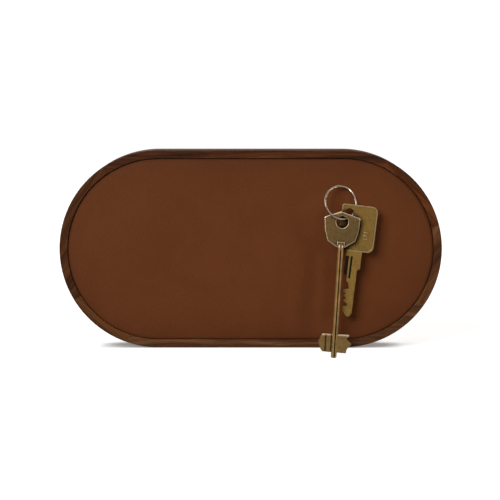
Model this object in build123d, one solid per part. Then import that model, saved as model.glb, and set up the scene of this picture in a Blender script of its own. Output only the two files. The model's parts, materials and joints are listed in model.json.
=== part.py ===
from build123d import *
import math
import os

# A wall-hung magnetic key panel: a stadium-shaped walnut rim round a leather face, with a
# split ring and two brass keys held on the face by magnets behind the leather.
# Millimetres. The origin is the middle of the back, on the wall. +X is right, +Z is up and
# the front faces -Y. Heights called "high" below are distances out from the wall.

# --- Driving dimensions -------------------------------------------------------------
STRAIGHT = 115.0            # straight run of the stadium, between its two end centres
RIM_RADIUS = 61.8           # outside radius of each end, so the panel is 238.6 x 123.6
RIM_DEPTH = 24.0
LIP_RADIUS = 56.7           # inside of the rim's visible front lip
LEDGE_RADIUS = 50.8         # inside of the ledge that both boards seat on
RABBET_RADIUS = 56.8        # recess at the back for the back board
FRONT_ROUND = 0.8
INNER_ROUND = 0.4

BACK_THICK = 4.0            # back board, flush with the rim's back
BACK_GAP = 0.2
LEATHER_THICK = 1.4
LEATHER_WRAP = 1.2          # leather turned down round the board's edge
LEATHER_RADIUS = 56.25
LEATHER_FRONT = 23.2        # height of the leather's face
BOARD_THICK = 4.0
LEATHER_BACK = LEATHER_FRONT - LEATHER_THICK - BOARD_THICK

# Six rim segments meet on radial planes, each at an angle about one end centre.
LEFT = (-STRAIGHT / 2, 0.0)
RIGHT = (STRAIGHT / 2, 0.0)
RIM_JOINTS = [(LEFT, 124.0), (RIGHT, 64.0), (RIGHT, 14.0), (RIGHT, -35.0), (LEFT, -109.0), (LEFT, -149.0)]
RIM_NAMES = ["rim_top_rail", "rim_right_upper_bow", "rim_right_lower_bow",
             "rim_bottom_rail", "rim_left_lower_bow", "rim_left_upper_bow"]
TONGUE = (6.0, 12.0, 3.0)   # loose tongue across each joint: radial, along the rim, thick
TONGUE_RADIUS = 56.3
TONGUE_LOW = 9.5

MAGNET_RADIUS = 7.5
MAGNET_THICK = 2.8
MAGNET_PITCH = 31.5
MAGNET_COUNT = 5
MAGNET_Z = 37.5
KEEPER = (152.0, 20.0, 1.0)  # steel strip behind the magnets: long, tall, thick
KEEPER_SCREW = (4.0, 0.9, 1.8)  # screws: length, shank radius, head radius

STRETCHER = (12.0, 52.0)    # wide, tall
STRETCHER_X = 40.0
STRETCHER_Z = -14.0

BACK_SCREW_RADIUS = 53.8    # from the end centre
BACK_SCREW = (12.0, 1.2, 2.4)
BACK_SCREW_SPOTS = [(LEFT, 165.0), (LEFT, -129.0), (RIGHT, 39.0), (RIGHT, -10.0)]
BACK_SCREW_RAIL_X = 29.0

PLATE = (16.0, 40.0, 1.5)   # keyhole hanging plate: wide, tall, thick
PLATE_ROUND = 3.0
PLATE_X = 80.0
PLATE_RISE = 4.0            # plate centre above its entry hole
ENTRY_RADIUS = 4.5
KEYHOLE_SLOT = 4.5
KEYHOLE_RISE = 9.0          # slot end centre above the entry hole
POCKET_WIDE = 10.0          # room behind the plate for the wall screw's head
PLATE_SCREW_DROP = 15.5     # each plate screw above or below the plate's centre
PLATE_SCREW = (4.0, 1.0, 2.0)

# Split ring: flat wire coiled once and a third, leaning back so its top right touches the face.
RING_CENTRE = (55.95, -29.1, 29.6)
RING_RADIUS = 10.5
RING_LEAN = 29.0            # about the ring's own lean line
RING_LEAN_LINE = -50.0      # direction of that line in the face's plane
WIRE_WIDE = 1.1             # across the ring's radius
WIRE_THICK = 0.72           # along the ring's axis
WIRE_ROUND = 0.28
COIL_PITCH = 0.78
RAMP_START, RAMP_END = 79.0, 117.0
TOP_COIL_END = 218.0
LOW_COIL_END = 123.0 - 360.0

# Front key, in its own frame: ring hole at the origin, shank down the -Z axis.
FRONT_HOLE = (56.6, 17.65)
FRONT_OUT = 31.7            # height of the key's middle plane
FRONT_LEAN = 3.4
FRONT_HOLE_RADIUS = 3.8
FRONT_BOW_THICK = 1.4
FRONT_BEVEL = (0.75, 0.3)   # worn bevel round the bow: in from the edge, down the side
SHIELD = [(-0.9, 6.5), (11.1, 2.8), (10.4, -5.6), (8.7, -11.5), (2.8, -15.6),
          (-2.8, -15.6), (-8.2, -12.0), (-10.1, -6.0), (-11.1, 2.7)]
SHIELD_ROUND = 0.9
SHANK_RADIUS = 1.8
SHANK_TOP, SHANK_TIP = -13.4, -84.9
SHANK_GROOVE = (0.7, 0.6)   # wide, deep
SHANK_GROOVE_X = 0.15
SHANK_GROOVE_START = 4.0    # below the shank's top
COLLAR = (4.8, 3.4, 2.3)    # wide, deep, tall
BIT_THICK = 2.6
BIT = [(8.7, -70.0), (8.7, -71.3), (6.9, -72.4), (10.5, -75.8), (7.8, -78.9), (7.3, -81.5),
       (-7.2, -81.1), (-8.5, -79.8), (-10.2, -75.2), (-8.7, -71.6), (-7.9, -70.0)]
BIT_TOP_BEVEL = 0.8         # broad bevel along the bit's top, front and back
BIT_GROOVES = [-5.7, -2.2]
BIT_GROOVE = (0.8, 0.5)     # wide, deep
BIT_GROOVE_LONG = 20.0      # longer than the bit, so each groove runs right through
BIT_MIDDLE = -75.0

# Rear key, in its own frame: ring hole at the origin, blade down -Z and off to the right.
REAR_HOLE = (61.05, 22.6)
REAR_OUT = 28.7
REAR_LEAN = 7.0
REAR_HOLE_RADIUS = 3.3
REAR_THICK = 1.5
REAR_BOW = (22.3, 28.7)
REAR_BOW_MID = (6.4, -8.4)
REAR_BOW_ROUND = 3.6
REAR_BOW_TIGHT = 1.5        # the corner beside the ring hole
REAR_BORDER = 0.8
REAR_PANEL_DEEP = 0.16
REAR_HOLE_BEVEL = 0.35
REAR_BLADE = [(1.1, -20.0), (10.9, -20.0), (10.9, -33.4), (9.2, -34.3), (9.2, -61.4), (8.0, -63.4),
              (6.6, -63.8), (5.2, -62.9), (4.5, -61.4), (2.8, -60.2), (2.5, -58.4), (3.0, -57.5),
              (5.6, -57.3), (5.8, -55.9), (3.3, -54.2), (4.8, -52.3), (3.1, -51.0), (4.2, -49.4),
              (1.3, -48.3), (1.3, -47.3), (5.7, -46.3), (5.0, -43.2), (3.4, -41.4), (3.4, -39.2),
              (1.1, -37.4)]
REAR_GROOVES = [(2.1, 2.4), (5.0, 1.3)]  # middle, wide
REAR_GROOVE_DEEP = 0.45
REAR_GROOVE_TOP, REAR_GROOVE_END = -26.0, -40.0
REAR_BAR = (2.6, 0.7, 0.14)     # small raised bar: wide, tall, proud
REAR_BAR_X = 11.6
REAR_BAR_TOP, REAR_BAR_PITCH, REAR_BAR_COUNT = -10.4, 2.1, 3


# --- Helpers ------------------------------------------------------------------------
def slab(sketch, low, high):
    """A sketch drawn in X and Z, made solid between two heights out from the wall."""
    return extrude(Plane.XZ.offset(low) * sketch, amount=high - low)


def stadium(radius):
    return SlotCenterToCenter(STRAIGHT, 2 * radius)


def outline(points):
    return make_face(Polyline(*points, close=True))


def polar(centre, angle, radius):
    turn = math.radians(angle)
    return (centre[0] + radius * math.cos(turn), centre[1] + radius * math.sin(turn))


def block(wide, thick, tall, middle):
    return Pos(*middle) * Box(wide, thick, tall)


def screw_blank(size, x, z, high):
    """A countersunk wood screw, without its cross recess, driven in from the wall side."""
    length, shank, head = size
    tip = min(2.5, 0.4 * length)
    profile = outline([(0, 0), (head, 0), (shank, shank - head), (shank, tip - length), (0, -length)])
    return Pos(x, -high, z) * revolve(profile, Axis.Y)


def screw(size, x, z, high):
    head = size[2]
    recess = Box(1.1 * head, 0.8, 0.25 * head) + Box(0.25 * head, 0.8, 1.1 * head)
    return screw_blank(size, x, z, high) - Pos(x, -high, z) * recess


def save(node, *solids):
    shape = solids[0] if len(solids) == 1 else Compound(children=list(solids))
    export_step(shape, f"parts/{node}.step")


# --- Panel ----------------------------------------------------------------------------
def whole_rim():
    rim = slab(stadium(RIM_RADIUS), 0, RIM_DEPTH)
    rim -= slab(stadium(RABBET_RADIUS), 0, BACK_THICK)
    rim -= slab(stadium(LEDGE_RADIUS), BACK_THICK, LEATHER_BACK)
    rim -= slab(stadium(LIP_RADIUS), LEATHER_BACK, RIM_DEPTH)
    rim = fillet(rim.faces().sort_by(Axis.Y)[0].outer_wire().edges(), FRONT_ROUND)
    return fillet(rim.faces().sort_by(Axis.Y)[0].inner_wires()[0].edges(), INNER_ROUND)


def wedge(start, end):
    """Everything between two rim joints, as a flat fan from the joints' end centres."""
    far = 3 * RIM_RADIUS
    (first, first_angle), (last, last_angle) = start, end
    if last_angle > first_angle:
        last_angle -= 360
    middle = (first_angle + last_angle) / 2
    points = [first, polar(first, first_angle, far), polar(first, middle, far)]
    if first != last:
        points += [polar(last, middle, far)]
    points += [polar(last, last_angle, far)]
    if first != last:
        points += [last]
    return outline(points)


def tongue(joint):
    centre, angle = joint
    radial, along, thick = TONGUE
    flat = Pos(*polar(centre, angle, TONGUE_RADIUS)) * Rot(0, 0, angle) * Rectangle(radial, along)
    return slab(flat, TONGUE_LOW, TONGUE_LOW + thick)


def back_screw_places():
    places = [polar(centre, angle, BACK_SCREW_RADIUS) for centre, angle in BACK_SCREW_SPOTS]
    for side in (-1, 1):
        x = side * BACK_SCREW_RAIL_X
        places += [(x, BACK_SCREW_RADIUS), (x, -BACK_SCREW_RADIUS)]
    return places


def leather():
    skin = slab(stadium(LEATHER_RADIUS), LEATHER_BACK, LEATHER_FRONT)
    skin -= slab(stadium(LEATHER_RADIUS - LEATHER_WRAP), LEATHER_BACK, LEATHER_FRONT - LEATHER_THICK)
    front = skin.faces().sort_by(Axis.Y)[0]
    return fillet(front.outer_wire().edges(), LEATHER_WRAP * 0.9)


def upright_slot(wide):
    """A slot that runs up from the origin by the keyhole's rise."""
    return Pos(0, KEYHOLE_RISE / 2) * Rot(0, 0, 90) * SlotCenterToCenter(KEYHOLE_RISE, wide)


def keyhole():
    """Round entry hole at the origin with a narrower slot running up from it."""
    return Circle(ENTRY_RADIUS) + upright_slot(KEYHOLE_SLOT)


def hanging_plate(x):
    wide, tall, thick = PLATE
    flat = Pos(x, PLATE_RISE) * RectangleRounded(wide, tall, PLATE_ROUND) - Pos(x, 0) * keyhole()
    return slab(flat, 0, thick)


def plate_screw_places(x):
    return [(x, PLATE_RISE - PLATE_SCREW_DROP), (x, PLATE_RISE + PLATE_SCREW_DROP)]


# --- Split ring -------------------------------------------------------------------------
def wire_section(angle, lift):
    """The wire's rounded flat section at one angle round the ring, drawn square to the wire."""
    turn = math.radians(angle)
    outward = Vector(math.cos(turn), math.sin(turn), 0)
    along = Vector(-math.sin(turn), math.cos(turn), 0)
    plane = Plane(origin=outward * RING_RADIUS + Vector(0, 0, lift), x_dir=outward, z_dir=along)
    return plane * RectangleRounded(WIRE_WIDE, WIRE_THICK, WIRE_ROUND)


def coil(start, end, lift):
    return revolve(wire_section(start, lift), Axis.Z, end - start)


def ring_frame():
    """The ring's own plane: X along its lean line, Z out of its front."""
    line = math.radians(RING_LEAN_LINE)
    lean = math.radians(RING_LEAN)
    x_dir = Vector(math.cos(line), 0, math.sin(line))
    up = Vector(-math.sin(line) * math.cos(lean), math.sin(lean), math.cos(line) * math.cos(lean))
    return Plane(origin=RING_CENTRE, x_dir=x_dir, z_dir=x_dir.cross(up))


def split_ring():
    top, low = COIL_PITCH / 2, -COIL_PITCH / 2
    steps = 5
    ring = coil(RAMP_END, TOP_COIL_END, top) + coil(LOW_COIL_END, RAMP_START, low)
    for step in range(steps):
        share = [step / steps, (step + 1) / steps]
        angles = [RAMP_START + (RAMP_END - RAMP_START) * s for s in share]
        lifts = [low + COIL_PITCH * (1 - math.cos(math.pi * s)) / 2 for s in share]
        ring += loft([wire_section(a, l) for a, l in zip(angles, lifts)], ruled=True)
    return ring_frame().location * ring


# --- Keys ---------------------------------------------------------------------------------
def hung(key, hole, out, lean):
    """A key drawn about its hole, tipped to hang to the left and put in its place."""
    return Pos(hole[0], -out, hole[1]) * Rot(0, lean, 0) * key


def front_key():
    half = FRONT_BOW_THICK / 2
    bow = slab(fillet(outline(SHIELD).vertices(), SHIELD_ROUND), -half, half)
    bow -= slab(Circle(FRONT_HOLE_RADIUS), -half, half)
    for side in (0, -1):
        face = bow.faces().sort_by(Axis.Y)[side]
        bow = chamfer(face.outer_wire().edges(), *FRONT_BEVEL, reference=face)
        hole = bow.faces().sort_by(Axis.Y)[side].inner_wires()[0]
        bow = chamfer(hole.edges(), FRONT_BEVEL[1])
    bit = slab(outline(BIT), -BIT_THICK / 2, BIT_THICK / 2)
    top_edges = bit.faces().sort_by(Axis.Z)[-1].edges().sort_by(Axis.Y)
    bit = chamfer([top_edges[0], top_edges[-1]], BIT_TOP_BEVEL)
    wide, deep = BIT_GROOVE
    for x in BIT_GROOVES:
        for side in (-1, 1):
            bit -= block(wide, 2 * deep, BIT_GROOVE_LONG, (x, side * BIT_THICK / 2, BIT_MIDDLE))
    shank = Pos(0, 0, SHANK_TIP) * Cylinder(SHANK_RADIUS, SHANK_TOP - SHANK_TIP,
                                            align=(Align.CENTER, Align.CENTER, Align.MIN))
    shank = chamfer(shank.edges().sort_by(Axis.Z)[0], 0.5)
    collar_wide, collar_deep, collar_tall = COLLAR
    collar = fillet(block(collar_wide, collar_deep, collar_tall, (0, 0, SHANK_TOP)).edges(), 0.4)
    key = bow + bit + shank + collar
    groove_wide, groove_deep = SHANK_GROOVE
    groove_long = SHANK_TOP - SHANK_TIP - SHANK_GROOVE_START
    groove_middle = SHANK_TIP + groove_long / 2
    key -= block(groove_wide, 2 * groove_deep, groove_long, (SHANK_GROOVE_X, -SHANK_RADIUS, groove_middle))
    return hung(key, FRONT_HOLE, FRONT_OUT, FRONT_LEAN)


def rear_bow(inset):
    """The rear key's bow, or its recessed panel, drawn in from the edge by the inset."""
    wide, tall = REAR_BOW
    flat = Rectangle(wide - 2 * inset, tall - 2 * inset)
    tight = flat.vertices().sort_by(Axis.X)[:2].sort_by(Axis.Y)[-1]
    wider = [vertex for vertex in flat.vertices() if vertex != tight]
    flat = fillet(wider, REAR_BOW_ROUND - inset)
    tight = flat.vertices().sort_by_distance((-wide / 2, tall / 2))[0]
    return Pos(*REAR_BOW_MID) * fillet(tight, REAR_BOW_TIGHT - inset)


def rear_key():
    half = REAR_THICK / 2
    key = slab(rear_bow(0), -half, half) + slab(outline(REAR_BLADE), -half, half)
    for low, high in ((-half, -half + REAR_PANEL_DEEP), (half - REAR_PANEL_DEEP, half)):
        key -= slab(rear_bow(REAR_BORDER), low, high)
    bar_wide, bar_tall, bar_proud = REAR_BAR
    floor = -half + REAR_PANEL_DEEP
    for number in range(REAR_BAR_COUNT):
        z = REAR_BAR_TOP - REAR_BAR_PITCH * number
        key += block(bar_wide, bar_proud, bar_tall, (REAR_BAR_X, floor - bar_proud / 2, z))
    key -= slab(Circle(REAR_HOLE_RADIUS), -half, half)
    bevel = Cone(REAR_HOLE_RADIUS, REAR_HOLE_RADIUS + REAR_HOLE_BEVEL, REAR_HOLE_BEVEL)
    key -= Pos(0, floor + REAR_HOLE_BEVEL / 2, 0) * Rot(90, 0, 0) * bevel
    long = REAR_GROOVE_TOP - REAR_GROOVE_END
    for x, wide in REAR_GROOVES:
        middle = (REAR_GROOVE_TOP + REAR_GROOVE_END) / 2
        key -= block(wide, 2 * REAR_GROOVE_DEEP, long, (x, -half, middle))
    return hung(key, REAR_HOLE, REAR_OUT, REAR_LEAN)


# --- Build ----------------------------------------------------------------------------------
os.makedirs("parts", exist_ok=True)

board_low = LEATHER_BACK
keeper_long, keeper_tall, keeper_thick = KEEPER
keeper_high = board_low
magnet_xs = [MAGNET_PITCH * (i - (MAGNET_COUNT - 1) / 2) for i in range(MAGNET_COUNT)]
keeper_screw_xs = [(a + b) / 2 for a, b in zip(magnet_xs, magnet_xs[1:])]

# Back screws enter from the wall side, through the back board into the rim's ledge.
back_holes = [screw_blank(BACK_SCREW, x, z, 0) for x, z in back_screw_places()]

rim = whole_rim()
tongues = [tongue(joint) for joint in RIM_JOINTS]
joint_pairs = list(zip(RIM_JOINTS, RIM_JOINTS[1:] + RIM_JOINTS[:1]))
for name, (start, end) in zip(RIM_NAMES, joint_pairs):
    segment = rim & slab(wedge(start, end), 0, RIM_DEPTH)
    for cutter in tongues + back_holes:
        segment -= cutter
    save(name, segment)
for number, solid in enumerate(tongues, 1):
    save(f"rim_tongue_{number}", solid)

save("leather_face", leather())

# The face board carries the leather in front, and the magnets in blind pockets from behind.
board = slab(stadium(LEATHER_RADIUS - LEATHER_WRAP), board_low, board_low + BOARD_THICK)
magnets = []
for x in magnet_xs:
    magnets.append(slab(Pos(x, MAGNET_Z) * Circle(MAGNET_RADIUS), board_low, board_low + MAGNET_THICK))
keeper = slab(Pos(0, MAGNET_Z) * RectangleRounded(keeper_long, keeper_tall, 2),
              keeper_high - keeper_thick, keeper_high)
keeper_places = [(x, MAGNET_Z, keeper_high - keeper_thick) for x in keeper_screw_xs]
keeper_holes = [screw_blank(KEEPER_SCREW, *place) for place in keeper_places]
for tool in magnets + keeper_holes:
    board -= tool
for tool in keeper_holes:
    keeper -= tool
save("face_board", board)
save("steel_keeper_strip", keeper)
save("keeper_screws", *[screw(KEEPER_SCREW, *place) for place in keeper_places])
for number, solid in enumerate(magnets, 1):
    save(f"magnet_{number}", solid)

for side, name in ((-1, "left"), (1, "right")):
    post = Pos(side * STRETCHER_X, STRETCHER_Z) * Rectangle(*STRETCHER)
    save(f"stretcher_{name}", slab(post, BACK_THICK, board_low))

# The back board has a mortise for each hanging plate and a pocket behind each keyhole.
back = slab(stadium(RABBET_RADIUS - BACK_GAP), 0, BACK_THICK)
plate_wide, plate_tall, plate_thick = PLATE
plate_screws = []
for side, name in ((-1, "left"), (1, "right")):
    x = side * PLATE_X
    plate = hanging_plate(x)
    back -= slab(Pos(x, PLATE_RISE) * RectangleRounded(plate_wide, plate_tall, PLATE_ROUND), 0, plate_thick)
    back -= slab(Pos(x, 0) * upright_slot(POCKET_WIDE), 0, BACK_THICK)
    for place in plate_screw_places(x):
        hole = screw_blank(PLATE_SCREW, *place, 0)
        plate -= hole
        back -= hole
        plate_screws.append(screw(PLATE_SCREW, *place, 0))
    save(f"keyhole_plate_{name}", plate)
for hole in back_holes:
    back -= hole
save("back_board", back)
save("back_board_screws", *[screw(BACK_SCREW, x, z, 0) for x, z in back_screw_places()])
save("keyhole_plate_screws", *plate_screws)

save("split_ring", split_ring())
save("front_key", front_key())
save("rear_key", rear_key())
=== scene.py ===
import json
import math

import bmesh
import bpy
from mathutils import Matrix, Vector


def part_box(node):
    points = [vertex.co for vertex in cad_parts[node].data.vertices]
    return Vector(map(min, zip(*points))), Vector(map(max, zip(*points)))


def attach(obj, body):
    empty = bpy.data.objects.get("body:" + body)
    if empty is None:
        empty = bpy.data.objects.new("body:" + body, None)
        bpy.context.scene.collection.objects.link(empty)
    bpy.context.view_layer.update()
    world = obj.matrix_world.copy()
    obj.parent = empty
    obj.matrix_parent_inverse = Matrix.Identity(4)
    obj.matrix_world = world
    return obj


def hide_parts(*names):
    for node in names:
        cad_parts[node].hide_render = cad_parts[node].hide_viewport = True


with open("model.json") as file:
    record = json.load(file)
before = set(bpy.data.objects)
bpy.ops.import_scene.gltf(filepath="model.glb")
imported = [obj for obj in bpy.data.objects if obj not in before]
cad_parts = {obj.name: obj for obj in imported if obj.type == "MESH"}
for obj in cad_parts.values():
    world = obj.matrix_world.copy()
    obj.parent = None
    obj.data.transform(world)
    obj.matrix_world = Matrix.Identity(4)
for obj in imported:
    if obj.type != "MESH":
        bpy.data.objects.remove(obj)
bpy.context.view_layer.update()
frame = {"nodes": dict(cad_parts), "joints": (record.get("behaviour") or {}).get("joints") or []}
nodes = frame["nodes"]

# Millimetres are written as MM times a number; everything else is in metres.
MM = 0.001

# The panel's driving sizes, read off the frame's own boxes.
rim_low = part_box("rim_bottom_rail")[0]
FRONT_Y = rim_low.y                       # the rim's front face
FLOOR_Z = rim_low.z                       # the panel stands on its lower edge
leather_low, leather_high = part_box("leather_face")
LEATHER_RADIUS = (leather_high.z - leather_low.z) / 2
HALF_STRAIGHT = (leather_high.x - leather_low.x) / 2 - LEATHER_RADIUS


# --- Material helpers -------------------------------------------------------------------
# The Mix node's sockets when it mixes colours.
MIX_FACTOR, MIX_FIRST, MIX_SECOND, MIX_RESULT = 0, 6, 7, 2


class Shader:
    """A Principled material and the few node moves that every material here shares."""

    def __init__(self, name, **sockets):
        self.material = bpy.data.materials.new(name)
        self.material.use_nodes = True
        self.tree = self.material.node_tree
        self.bsdf = self.tree.nodes["Principled BSDF"]
        for socket, value in sockets.items():
            self.bsdf.inputs[socket.replace("_", " ")].default_value = value
        self.place = self.add("ShaderNodeTexCoord").outputs["Object"]

    def add(self, kind, links=None, **values):
        """Adds a node, with sockets linked by links and sockets or settings set by values."""
        node = self.tree.nodes.new(kind)
        for name, value in values.items():
            if name in node.inputs:
                node.inputs[name].default_value = value
            else:
                setattr(node, name, value)
        for name, source in (links or {}).items():
            self.tree.links.new(source, node.inputs[name])
        return node

    def link(self, socket, source):
        self.tree.links.new(source, self.bsdf.inputs[socket])

    def mapped(self, source, rotation=(0, 0, 0), scale=(1, 1, 1), location=(0, 0, 0)):
        node = self.add("ShaderNodeMapping", {"Vector": source},
                        Rotation=rotation, Scale=scale, Location=location)
        return node.outputs["Vector"]

    def swayed(self, vector, wave, reach):
        """The vector, shifted along Z by reach times the wave, so that straight lines sway."""
        push = self.add("ShaderNodeCombineXYZ", {"Z": self.maths("MULTIPLY", wave, reach)})
        return self.summed(vector, push.outputs["Vector"])

    def summed(self, a, b):
        return self.add("ShaderNodeVectorMath", {0: a, 1: b}, operation="ADD").outputs["Vector"]

    def split(self, vector):
        return self.add("ShaderNodeSeparateXYZ", {"Vector": vector}).outputs

    def noise(self, vector, scale=1.0, detail=2.0, roughness=0.5, distortion=0.0):
        node = self.add("ShaderNodeTexNoise", {"Vector": vector}, Scale=scale, Detail=detail,
                        Roughness=roughness, Distortion=distortion)
        return node.outputs["Fac"]

    def stretched_noise(self, vector, scales, **shape):
        """Noise of its own scale, in cycles a metre, along X, Y and Z."""
        return self.noise(self.mapped(vector, scale=scales), **shape)

    def ramp(self, source, *stops):
        """Stops are (place, value or colour)."""
        node = self.add("ShaderNodeValToRGB", {"Fac": source})
        bar = node.color_ramp.elements
        while len(bar) < len(stops):
            bar.new(1.0)
        for element, (place, value) in zip(bar, stops):
            element.position = place
            colour = value if hasattr(value, "__len__") else (value,) * 3
            element.color = (*colour, 1.0)
        return node.outputs["Color"]

    def blend(self, share, a, b, mode="MIX"):
        """Mixes two colours, each a socket or a plain colour; share is a socket or a number."""
        node = self.add("ShaderNodeMix", data_type="RGBA", blend_type=mode)
        for index, value in ((MIX_FACTOR, share), (MIX_FIRST, a), (MIX_SECOND, b)):
            socket = node.inputs[index]
            if isinstance(value, bpy.types.NodeSocket):
                self.tree.links.new(value, socket)
            elif hasattr(value, "__len__"):
                socket.default_value = (*value, 1.0)
            else:
                socket.default_value = value
        return node.outputs[MIX_RESULT]

    def shaded(self, share, colour, shade):
        """The colour, multiplied by the shade to the share given."""
        return self.blend(share, colour, shade, "MULTIPLY")

    def maths(self, operation, a, b=None):
        node = self.add("ShaderNodeMath", operation=operation)
        for socket, value in zip(node.inputs, (a, b)):
            if isinstance(value, bpy.types.NodeSocket):
                self.tree.links.new(value, socket)
            elif value is not None:
                socket.default_value = value
        return node.outputs[0]

    def bump(self, height, distance, strength=1.0, after=None):
        node = self.add("ShaderNodeBump", {"Height": height}, Distance=distance, Strength=strength)
        if after is not None:
            self.tree.links.new(after, node.inputs["Normal"])
        return node.outputs["Normal"]


def dress(name, *shaders):
    """Gives a CAD node, or a new piece, its material; a second one is for its eased edges."""
    piece = nodes[name] if name in nodes else bpy.data.objects[name]
    piece.data.materials.clear()
    for shader in shaders:
        piece.data.materials.append(shader.material)


# --- Wood -------------------------------------------------------------------------------
LAYER_SLANT = 35.0                        # degrees
WALNUT_DARK = (0.028, 0.0115, 0.0055)
WALNUT_MIDDLE = (0.078, 0.031, 0.0135)
WALNUT_LIGHT = (0.155, 0.068, 0.031)

# Cycles a metre along the grain, across it and through the growth layers.
WALNUT_WAVE = (9, 60, 60)
WALNUT_RINGS = (10, 45, 360)
WALNUT_STREAKS = (45, 260, 1600)
WALNUT_PORES = (170, 2600, 3800)
PLY_FIGURE = (5, 60, 110)
PLY_PORES = (130, 2200, 2600)


def walnut(name, grain_angle, tone, warmth, seed):
    """Oiled walnut with its grain running straight along one segment's own blank."""
    s = Shader(name, Roughness=0.55, Specular_IOR_Level=0.08)
    grain_turn = (0, math.radians(grain_angle), 0)
    turned = s.mapped(s.place, rotation=grain_turn, location=(seed, 0.37 * seed, 0))
    # The growth layers lie at a slant, so that the front, the top and the ends all cut across them.
    layered = s.mapped(turned, rotation=(math.radians(LAYER_SLANT), 0, 0))
    wave = s.stretched_noise(layered, WALNUT_WAVE, detail=3)
    along = s.swayed(layered, wave, 12 * MM)
    rings = s.stretched_noise(along, WALNUT_RINGS, detail=5, roughness=0.62)
    streaks = s.stretched_noise(along, WALNUT_STREAKS, detail=3, roughness=0.6)
    pores = s.stretched_noise(along, WALNUT_PORES)
    cloud = s.noise(s.place, 26.0)
    dark = [c * tone for c in WALNUT_DARK]
    middle = [c * tone * w for c, w in zip(WALNUT_MIDDLE, warmth)]
    light = [c * tone * w for c, w in zip(WALNUT_LIGHT, warmth)]
    pit = s.ramp(pores, (0.30, 0.35), (0.42, 1.0))
    colour = s.ramp(rings, (0.30, dark), (0.50, middle), (0.72, light))
    colour = s.shaded(0.55, colour, s.ramp(streaks, (0.32, 0.35), (0.55, 1.0), (0.8, 1.5)))
    colour = s.shaded(0.8, colour, pit)
    colour = s.shaded(0.35, colour, s.ramp(cloud, (0.3, 0.6), (0.7, 1.25)))
    s.link("Base Color", colour)
    s.link("Roughness", s.ramp(rings, (0.3, 0.62), (0.7, 0.42)))
    fine = s.bump(pit, 0.06 * MM, 0.7)
    s.link("Normal", s.bump(streaks, 0.05 * MM, 0.5, after=fine))
    return s


def pale_ply(name, base, grain, seed):
    """Sanded plywood's face veneer, with long soft figure, short pores and a few darker streaks."""
    s = Shader(name, Roughness=0.72, Specular_IOR_Level=0.25)
    moved = s.mapped(s.place, location=(seed, seed, seed))
    along = s.swayed(moved, s.noise(moved, 14.0, distortion=1.2), 30 * MM)
    figure = s.stretched_noise(along, PLY_FIGURE, detail=6, roughness=0.65)
    pores = s.stretched_noise(along, PLY_PORES)
    pale = [1.12 * c for c in base]
    colour = s.ramp(figure, (0.30, grain), (0.55, base), (0.8, pale))
    colour = s.shaded(0.5, colour, s.ramp(pores, (0.33, 0.55), (0.46, 1.0)))
    s.link("Base Color", colour)
    s.link("Normal", s.bump(pores, 0.05 * MM, 0.5))
    return s


# --- Leather ------------------------------------------------------------------------------
HIDE_DARK = (0.148, 0.0410, 0.0105)
HIDE_LIGHT = (0.170, 0.0480, 0.0128)
EDGE_DARKENING_REACH = 24 * MM     # how far in from its edge the hide is darkened


def edge_distance(s):
    """How far a point lies inside the leather's outline, in metres."""
    place = s.split(s.place)
    beyond = s.maths("SUBTRACT", s.maths("ABSOLUTE", place["X"]), HALF_STRAIGHT)
    beyond = s.maths("MAXIMUM", beyond, 0.0)
    across = s.maths("MULTIPLY", beyond, beyond)
    up = s.maths("MULTIPLY", place["Z"], place["Z"])
    out = s.maths("SQRT", s.maths("ADD", across, up))
    return s.maths("SUBTRACT", LEATHER_RADIUS, out)


def pebble_cells(s):
    """The hide's pebbled grain, as the distance from each pebble's middle."""
    warp = s.add("ShaderNodeTexNoise", {"Vector": s.place}, Scale=700.0).outputs["Color"]
    small = s.add("ShaderNodeVectorMath", {0: warp}, operation="SCALE")
    small.inputs["Scale"].default_value = 0.9 * MM
    moved = s.summed(s.place, small.outputs["Vector"])
    return s.add("ShaderNodeTexVoronoi", {"Vector": moved}, Scale=1150.0).outputs["Distance"]


def waxed_leather():
    """Smooth waxed hide: fine pebbled grain, faint pull-up mottling and darkening towards its edge."""
    s = Shader("waxed_leather", Specular_IOR_Level=0.12, Roughness=0.6)
    mottle = s.noise(s.place, 22.0, detail=4, roughness=0.6, distortion=0.6)
    specks = s.noise(s.place, 900.0)
    pebbles = pebble_cells(s)
    crease_place = s.mapped(s.place, rotation=(0, 0.5, 0), scale=(90, 90, 210))
    creases = s.noise(crease_place, detail=4, distortion=1.5)
    inward = s.maths("DIVIDE", edge_distance(s), EDGE_DARKENING_REACH)
    # Darker towards the outline, most at the very edge.
    edge_darkening = s.ramp(inward, (0.0, 0.70), (0.08, 0.86), (0.45, 0.94), (1.0, 1.0))
    colour = s.ramp(mottle, (0.32, HIDE_DARK), (0.68, HIDE_LIGHT))
    colour = s.shaded(0.10, colour, s.ramp(specks, (0.35, 0.6), (0.65, 1.3)))
    colour = s.shaded(0.22, colour, s.ramp(pebbles, (0.0, 1.1), (0.8, 0.55)))
    s.link("Base Color", s.shaded(1.0, colour, edge_darkening))
    s.link("Roughness", s.ramp(mottle, (0.3, 0.56), (0.7, 0.66)))
    grain = s.bump(s.ramp(pebbles, (0.05, 1.0), (0.75, 0.0)), 0.05 * MM, 0.5)
    s.link("Normal", s.bump(creases, 0.05 * MM, 0.35, after=grain))
    return s


def stadium_ring(inset, y, steps=56):
    """Points of the leather's outline, moved in by inset, at depth y."""
    radius = LEATHER_RADIUS - inset
    points = []
    for side in (1, -1):
        for i in range(steps + 1):
            turn = math.pi * (i / steps - 0.5) if side > 0 else math.pi * (i / steps + 0.5)
            points.append((side * HALF_STRAIGHT + radius * math.cos(turn), y, radius * math.sin(turn)))
    return points


ROLL = 0.7 * MM             # the radius at which the hide turns over the board's edge
ROLL_STEPS = 7
ROLL_DROP = 0.2 * MM        # how far behind the face the roll ends
SWELL = 0.36 * MM           # the turned edge fills most of the gap to the rim
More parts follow.
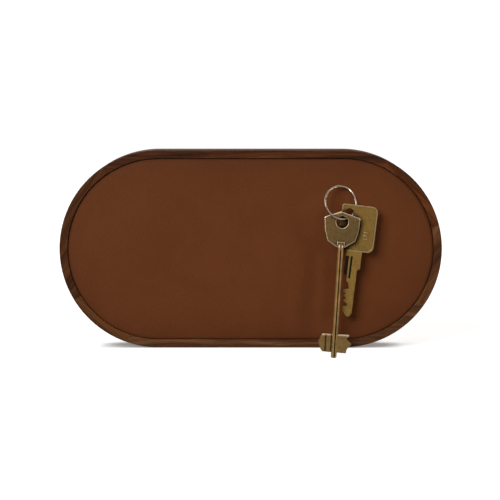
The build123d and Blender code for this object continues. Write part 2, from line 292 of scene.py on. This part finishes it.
# Past the roll the hide still falls away a little, as it does over a board's eased edge:
# how far in from the outline, and how far behind the face, both in millimetres.
FALL_AWAY = ((1.4, 0.14), (2.6, 0.09), (4.5, 0.05), (8.0, 0.02), (12.0, 0.01), (18.0, 0.0))
FLAT_INSETS = range(24, 54, 6)      # millimetres


def skin_rows():
    """The hide's rings from its back edge to its middle, each an inset and a depth."""
    face = leather_low.y
    back = leather_high.y
    rows = [(-SWELL, back), (-SWELL, back + 0.5 * (face - back))]
    for i in range(ROLL_STEPS + 1):
        angle = 0.5 * math.pi * i / ROLL_STEPS
        inset = ROLL * (1 - math.cos(angle)) - SWELL
        rows.append((inset, face + ROLL_DROP + ROLL * (1 - math.sin(angle))))
    rows += [(inset * MM, face + drop * MM) for inset, drop in FALL_AWAY]
    rows += [(inset * MM, face) for inset in FLAT_INSETS]
    return rows


def leather_skin():
    """The hide, pulled over the board and turned down its edge, with a soft roll where it turns."""
    mesh = bmesh.new()
    loops = [[mesh.verts.new(p) for p in stadium_ring(inset, y)] for inset, y in skin_rows()]
    count = len(loops[0])
    for outer, inner in zip(loops, loops[1:]):
        for i in range(count):
            j = (i + 1) % count
            mesh.faces.new((outer[i], outer[j], inner[j], inner[i]))
    mesh.faces.new(loops[-1])
    bmesh.ops.recalc_face_normals(mesh, faces=mesh.faces)
    data = bpy.data.meshes.new("leather_skin")
    mesh.to_mesh(data)
    mesh.free()
    data.polygons.foreach_set("use_smooth", [True] * len(data.polygons))
    piece = bpy.data.objects.new("leather_skin", data)
    bpy.context.scene.collection.objects.link(piece)
    dress("leather_skin", waxed_leather())
    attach(piece, "panel")
    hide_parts("leather_face")


# --- Metals ---------------------------------------------------------------------------------
BRUSH_MARKS = (2600, 2600, 110)           # cycles a metre; fine across a key, long down it
PAINTED_SHADE_REACH = 4.5 * MM                  # how near a neighbour has to be to paint shade on the brass
# Painted shade for the floors of the key's grooves.
GROOVE_SHADE = (0.055, 0.040, 0.022)
BORDER_WEAR = 0.35                        # how much of the edges' wear a raised border has
EASED_WIDTH = 0.2 * MM
EASED_SEGMENTS = 2
SHARP_ANGLE = 30                          # degrees; sharper edges than this are eased
WORN_SLOT = 1                             # the eased edges' material


def brass(name, base, worn, seed, roughness, lean, bow_floor, polish, shelter_from,
          raised=None, sunk=None):
    """Dull key brass: fine lengthwise brush marks, tarnish clouds and painted shade where sheltered.

    Above bow_floor, whatever turns away from the flat of the key is rubbed bright, and so is
    whatever lies further forward than raised; every edge that faces up gets a painted highlight.
    Below it the key is polish times as bright, as locks have rubbed it. Front faces behind sunk
    are painted dark: painted shade in the grooves.
    Sheltered places are painted darker, as shade, until only shelter_from of the room round them is
    open.
    """
    s = Shader(name, Metallic=1.0, Roughness=roughness)
    moved = s.mapped(s.place, location=(seed, 0, seed))
    brushed = s.stretched_noise(moved, BRUSH_MARKS, detail=3)
    clouds = s.noise(moved, 210.0, detail=4, roughness=0.65, distortion=0.5)
    specks = s.noise(moved, 2400.0)
    # Painted shade: how open the room round each point is, with neighbouring parts counted too.
    room = s.add("ShaderNodeAmbientOcclusion", only_local=False, samples=12,
                 Distance=PAINTED_SHADE_REACH).outputs["AO"]
    facing = s.split(s.add("ShaderNodeTexCoord").outputs["Normal"])
    where = s.split(s.place)
    rubbed = s.ramp(s.maths("ABSOLUTE", facing["Y"]), (0.94, 1.0), (0.985, 0.0))
    if raised is not None:
        border = s.maths("MULTIPLY", s.maths("LESS_THAN", where["Y"], raised), BORDER_WEAR)
        rubbed = s.maths("MAXIMUM", rubbed, border)
    # Measured along the key, which hangs at a slight lean.
    sideways = s.maths("MULTIPLY", where["X"], math.tan(math.radians(lean)))
    along = s.maths("ADD", where["Z"], sideways)
    # Painted highlight: edges that face up are coloured bright, on the blade and bit as well.
    up_facing_highlight = s.maths("GREATER_THAN", facing["Z"], 0.5)
    on_bow = s.maths("GREATER_THAN", along, bow_floor)
    edge = s.maths("MULTIPLY", rubbed, s.maths("MAXIMUM", on_bow, up_facing_highlight))
    below = s.maths("LESS_THAN", along, bow_floor)
    dull = [0.66 * c for c in base]
    colour = s.ramp(clouds, (0.30, dull), (0.66, base))
    colour = s.shaded(0.5, colour, s.ramp(brushed, (0.3, 0.75), (0.7, 1.2)))
    colour = s.shaded(0.4, colour, s.ramp(specks, (0.28, 0.4), (0.42, 1.0)))
    colour = s.shaded(below, colour, (polish, polish, polish))
    colour = s.blend(edge, colour, worn)
    # Painted shade where neighbouring parts or the key's own hollows close in.
    colour = s.shaded(1.0, colour, s.ramp(room, (shelter_from, 0.06), (0.94, 1.0)))
    # Painted shade: front faces sunk into the grooves are coloured dark.
    if sunk is not None:
        deep = s.maths("GREATER_THAN", where["Y"], sunk)
        forward = s.maths("LESS_THAN", facing["Y"], -0.5)
        colour = s.blend(s.maths("MULTIPLY", deep, forward), colour, GROOVE_SHADE)
    s.link("Base Color", colour)
    s.link("Roughness", s.ramp(clouds, (0.3, roughness + 0.08), (0.7, roughness - 0.05)))
    s.link("Normal", s.bump(brushed, 0.012 * MM, 0.6))
    return s


def worn_brass(name, base, seed):
    """The same metal where pockets have rubbed its edges bright."""
    s = Shader(name, Metallic=1.0, Roughness=0.45)
    wear = s.noise(s.mapped(s.place, location=(seed, 0, seed)), 700.0, detail=3)
    dull = [0.55 * c for c in base]
    s.link("Base Color", s.ramp(wear, (0.32, dull), (0.62, base)))
    s.link("Roughness", s.ramp(wear, (0.3, 0.54), (0.7, 0.40)))
    return s


def plated(name, base, roughness, seed, brush=(900, 900, 900)):
    """Plated or mill-finish steel with fine marks and a little uneven dulling."""
    s = Shader(name, Metallic=1.0, Roughness=roughness)
    moved = s.mapped(s.place, location=(seed, seed, 0))
    marks = s.stretched_noise(moved, brush, detail=3)
    clouds = s.noise(moved, 320.0, detail=3)
    dull = [0.78 * c for c in base]
    colour = s.ramp(clouds, (0.32, dull), (0.68, base))
    s.link("Base Color", s.shaded(0.4, colour, s.ramp(marks, (0.3, 0.75), (0.7, 1.15))))
    s.link("Roughness", s.ramp(clouds, (0.3, roughness + 0.1), (0.7, roughness - 0.05)))
    s.link("Normal", s.bump(marks, 0.01 * MM, 0.5))
    return s


def ease_edges(name):
    """Breaks a CAD node's sharp edges, so that they catch the light as worn edges do."""
    piece = nodes[name]
    weld = piece.modifiers.new("joined_faces", "WELD")
    weld.merge_threshold = 0.002 * MM
    bevel = piece.modifiers.new("eased_edges", "BEVEL")
    bevel.width = EASED_WIDTH
    bevel.segments = EASED_SEGMENTS
    bevel.limit_method = "ANGLE"
    bevel.angle_limit = math.radians(SHARP_ANGLE)
    bevel.miter_outer = "MITER_ARC"
    bevel.use_clamp_overlap = True
    bevel.material = WORN_SLOT
    shading = piece.modifiers.new("flat_faces", "WEIGHTED_NORMAL")
    shading.mode = "FACE_AREA"
    shading.weight = 80


# --- Dress the object ---------------------------------------------------------------------
# Each rim segment: grain direction in degrees from level, rising to the right where it is
# positive, then tone, colour balance and seed.
RIM_SEGMENTS = {
    "rim_top_rail": (0, 1.15, (1.08, 0.80, 0.55), 1.3),
    "rim_right_upper_bow": (-47, 1.42, (1.14, 0.80, 0.56), 4.1),
    "rim_right_lower_bow": (52, 1.45, (1.08, 0.98, 0.80), 7.7),
    "rim_bottom_rail": (0, 1.50, (1.0, 1.0, 0.90), 2.9),
    "rim_left_lower_bow": (-41, 1.46, (1.08, 0.96, 0.68), 5.6),
    "rim_left_upper_bow": (57, 0.98, (1.08, 0.86, 0.60), 9.2),
}


def dress_panel():
    """Gives every node of the panel its material, and the leather its skin."""
    for name, (angle, tone, warmth, seed) in RIM_SEGMENTS.items():
        dress(name, walnut("walnut_" + name, angle, tone, warmth, seed))
    birch = pale_ply("birch", (0.50, 0.36, 0.21), (0.40, 0.27, 0.15), 3.0)
    ply = pale_ply("ply_face", (0.46, 0.31, 0.17), (0.33, 0.20, 0.10), 8.0)
    zinc = plated("zinc_plate", (0.62, 0.62, 0.60), 0.34, 1.0, brush=(500, 500, 3000))
    screw_zinc = plated("screw_zinc", (0.66, 0.63, 0.55), 0.3, 2.0)
    mill_steel = plated("mill_steel", (0.42, 0.42, 0.43), 0.42, 3.0, brush=(120, 2500, 2500))
    magnet_nickel = plated("magnet_nickel", (0.68, 0.66, 0.63), 0.2, 4.0)
    leather_skin()
    for name in nodes:
        if name.startswith("rim_tongue"):
            dress(name, birch)
        elif name in ("face_board", "back_board") or name.startswith("stretcher"):
            dress(name, ply)
        elif name.startswith("magnet"):
            dress(name, magnet_nickel)
        elif name.endswith("screws"):
            dress(name, screw_zinc)
        elif name.startswith("keyhole_plate"):
            dress(name, zinc)
    dress("steel_keeper_strip", mill_steel)


def lowest_of_bow(hole, lean, reach):
    """The height, on the key's own line, that its bow reaches down to."""
    turn = math.radians(lean)
    return hole.z + hole.x * math.tan(turn) - reach / math.cos(turn)


def dress_keys():
    """Brass with each key's own wear, and plated wire for the ring."""
    pale = (0.90, 0.74, 0.54)
    gold = (0.90, 0.72, 0.44)
    hole = {j["child"]: Vector(j["pos_m"]) for j in frame["joints"]}
    # Each key's lean in degrees, and how far its bow reaches below its ring hole.
    front_lean, front_reach = 3.4, 15.8 * MM
    rear_lean, rear_reach = 7.0, 22.9 * MM
    rear_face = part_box("rear_key")[0].y
    front = brass("front_key_brass", base=(0.345, 0.212, 0.078), worn=pale, seed=1.7,
                  roughness=0.56, lean=front_lean, polish=1.53, shelter_from=0.50,
                  bow_floor=lowest_of_bow(hole["front_key"], front_lean, front_reach))
    rear = brass("rear_key_brass", base=(0.56, 0.335, 0.088), worn=gold, seed=6.3,
                 roughness=0.54, lean=rear_lean, polish=1.12, shelter_from=0.66,
                 bow_floor=lowest_of_bow(hole["rear_key"], rear_lean, rear_reach),
                 raised=rear_face + 0.08 * MM, sunk=rear_face + 0.30 * MM)
    nickel = plated("ring_nickel", (0.66, 0.55, 0.42), 0.32, 5.0, brush=(300, 300, 300))
    dress("front_key", front, worn_brass("front_key_worn", pale, seed=2.6))
    dress("rear_key", rear, worn_brass("rear_key_worn", gold, seed=8.1))
    dress("split_ring", nickel)
    ease_edges("front_key")
    ease_edges("rear_key")


# --- Stage, light and camera ---------------------------------------------------------------
STAGE_REACH = 2.5
SHELF_THICK = 12 * MM
SHELF_LIP = 1.5 * MM        # how far the shelf comes out in front of the panel, behind the keys
FLOOR_THICK = 8 * MM
CONTACT_REACH = 12 * MM     # how far from the panel the shelf's painted contact shadow reaches

def slab(name, low, high, material, front=None):
    """A stage block between two corners, with its own material on the front if one is given."""
    mesh = bmesh.new()
    bmesh.ops.create_cube(mesh, size=1.0)
    size = [b - a for a, b in zip(low, high)]
    middle = [(a + b) / 2 for a, b in zip(low, high)]
    placed = Matrix.Translation(middle) @ Matrix.Diagonal((*size, 1.0))
    bmesh.ops.transform(mesh, matrix=placed, verts=mesh.verts)
    mesh.normal_update()
    for face in mesh.faces:
        face.material_index = 1 if front and face.normal.y < -0.5 else 0
    data = bpy.data.meshes.new(name)
    mesh.to_mesh(data)
    mesh.free()
    for each in (material, front):
        if each:
            data.materials.append(each)
    piece = bpy.data.objects.new(name, data)
    bpy.context.scene.collection.objects.link(piece)
    piece.visible_glossy = False
    piece.visible_diffuse = False


def stage():
    """A pale shelf that the panel stands on, with the keys hanging over its front, and a floor."""
    white = Shader("stage_white", Roughness=0.9, Specular_IOR_Level=0.0, Emission_Strength=0.43)
    # The shelf glows a little, more towards the back; near the panel its colour and glow are darkened,
    # a painted contact shadow.
    contact = white.add("ShaderNodeAmbientOcclusion", samples=16, Distance=CONTACT_REACH)
    painted_contact_shadow = white.ramp(contact.outputs["AO"], (0.30, 0.48), (0.90, 1.0))
    depth = white.maths("MULTIPLY", white.split(white.place)["Y"], 0.5)
    glow = white.ramp(depth, (0.05, 1.0), (0.40, 1.6))
    white.link("Base Color", white.shaded(1.0, painted_contact_shadow, (0.93, 0.93, 0.93)))
    white.link("Emission Color", white.shaded(1.0, painted_contact_shadow, glow))
    bright = Shader("stage_bright", Base_Color=(0.3, 0.3, 0.3, 1.0), Roughness=0.9,
                    Specular_IOR_Level=0.0, Emission_Color=(1.0, 1.0, 1.0, 1.0),
                    Emission_Strength=0.95).material
    under = FLOOR_Z - SHELF_THICK
    shelf_low = (-STAGE_REACH, FRONT_Y - SHELF_LIP, under)
    slab("shelf", shelf_low, (STAGE_REACH, STAGE_REACH, FLOOR_Z), white.material, bright)
    floor_low = (-STAGE_REACH, -STAGE_REACH, under - FLOOR_THICK)
    slab("floor", floor_low, (STAGE_REACH, STAGE_REACH, under), bright)


def soft_light(name, place, target, wide, tall, power):
    """A rectangular light at place, facing target; metres and watts."""
    light = bpy.data.lights.new(name, "AREA")
    light.shape = "RECTANGLE"
    light.size = wide
    light.size_y = tall
    light.energy = power
    piece = bpy.data.objects.new(name, light)
    piece.location = place
    aim = Vector(target) - Vector(place)
    piece.rotation_euler = aim.to_track_quat("-Z", "Y").to_euler()
    bpy.context.scene.collection.objects.link(piece)


# How the room's light rises: by which axis of the direction looked in, from where to where,
# and from how bright to how bright. The three are added up.
ROOM_LEVELS = (
    ("Y", -0.3, 0.3, 0.02, 0.80),
    ("Z", 0.25, 0.9, 0.0, 0.20),
    ("Z", -0.3, -0.8, 0.0, 0.35),
)
BACKDROP_LEVEL = 1.02       # just over white


def room_light():
    """A room that is dim on the viewer's side, seen by the camera as a plain white backdrop."""
    world = bpy.data.worlds.new("studio")
    bpy.context.scene.world = world
    world.use_nodes = True
    tree = world.node_tree
    background = tree.nodes["Background"]
    background.inputs["Color"].default_value = (1.0, 1.0, 1.0, 1.0)
    place = tree.nodes.new("ShaderNodeTexCoord")
    split = tree.nodes.new("ShaderNodeSeparateXYZ")
    tree.links.new(place.outputs["Generated"], split.inputs["Vector"])
    total = None
    for axis, *limits in ROOM_LEVELS:
        level = tree.nodes.new("ShaderNodeMapRange")
        for socket, value in zip(("From Min", "From Max", "To Min", "To Max"), limits):
            level.inputs[socket].default_value = value
        tree.links.new(split.outputs[axis], level.inputs["Value"])
        if total is None:
            total = level.outputs["Result"]
            continue
        added = tree.nodes.new("ShaderNodeMath")
        added.operation = "ADD"
        tree.links.new(total, added.inputs[0])
        tree.links.new(level.outputs["Result"], added.inputs[1])
        total = added.outputs[0]
    # The backdrop itself is plain white, whatever the room's light is.
    seen = tree.nodes.new("ShaderNodeLightPath").outputs["Is Camera Ray"]
    strength = tree.nodes.new("ShaderNodeMix")
    strength.inputs["B"].default_value = BACKDROP_LEVEL
    tree.links.new(total, strength.inputs["A"])
    tree.links.new(seen, strength.inputs["Factor"])
    tree.links.new(strength.outputs["Result"], background.inputs["Strength"])


def lights():
    """A large soft key from the upper left and a narrow strip from the right."""
    room_light()
    soft_light("key_light", (-0.66, -0.92, 0.62), (0, 0, 0), wide=0.8, tall=0.7, power=13.6)
    soft_light("side_strip", (1.0, -0.45, 0.05), (0.05, 0, 0), wide=0.14, tall=0.7, power=4.5)


CAMERA_DISTANCE = 1.2
CAMERA_ELEVATION = 5.3      # degrees
CAMERA_LENS = 138.6         # millimetres, on a sensor of SENSOR_WIDTH
SENSOR_WIDTH = 36.0
CAMERA_TARGET = Vector((-0.44 * MM, FRONT_Y, -0.41 * MM))


def camera():
    """At the photograph's angle: straight on, a little above, through a long lens."""
    data = bpy.data.cameras.new("camera")
    data.sensor_width = SENSOR_WIDTH
    data.lens = CAMERA_LENS
    elevation = math.radians(CAMERA_ELEVATION)
    away = Vector((0, -math.cos(elevation), math.sin(elevation)))
    piece = bpy.data.objects.new("camera", data)
    piece.location = CAMERA_TARGET + CAMERA_DISTANCE * away
    piece.rotation_euler = (-away).to_track_quat("-Z", "Y").to_euler()
    bpy.context.scene.collection.objects.link(piece)
    bpy.context.scene.camera = piece


dress_panel()
dress_keys()
stage()
lights()
camera()
bpy.context.scene.view_settings.view_transform = "Standard"
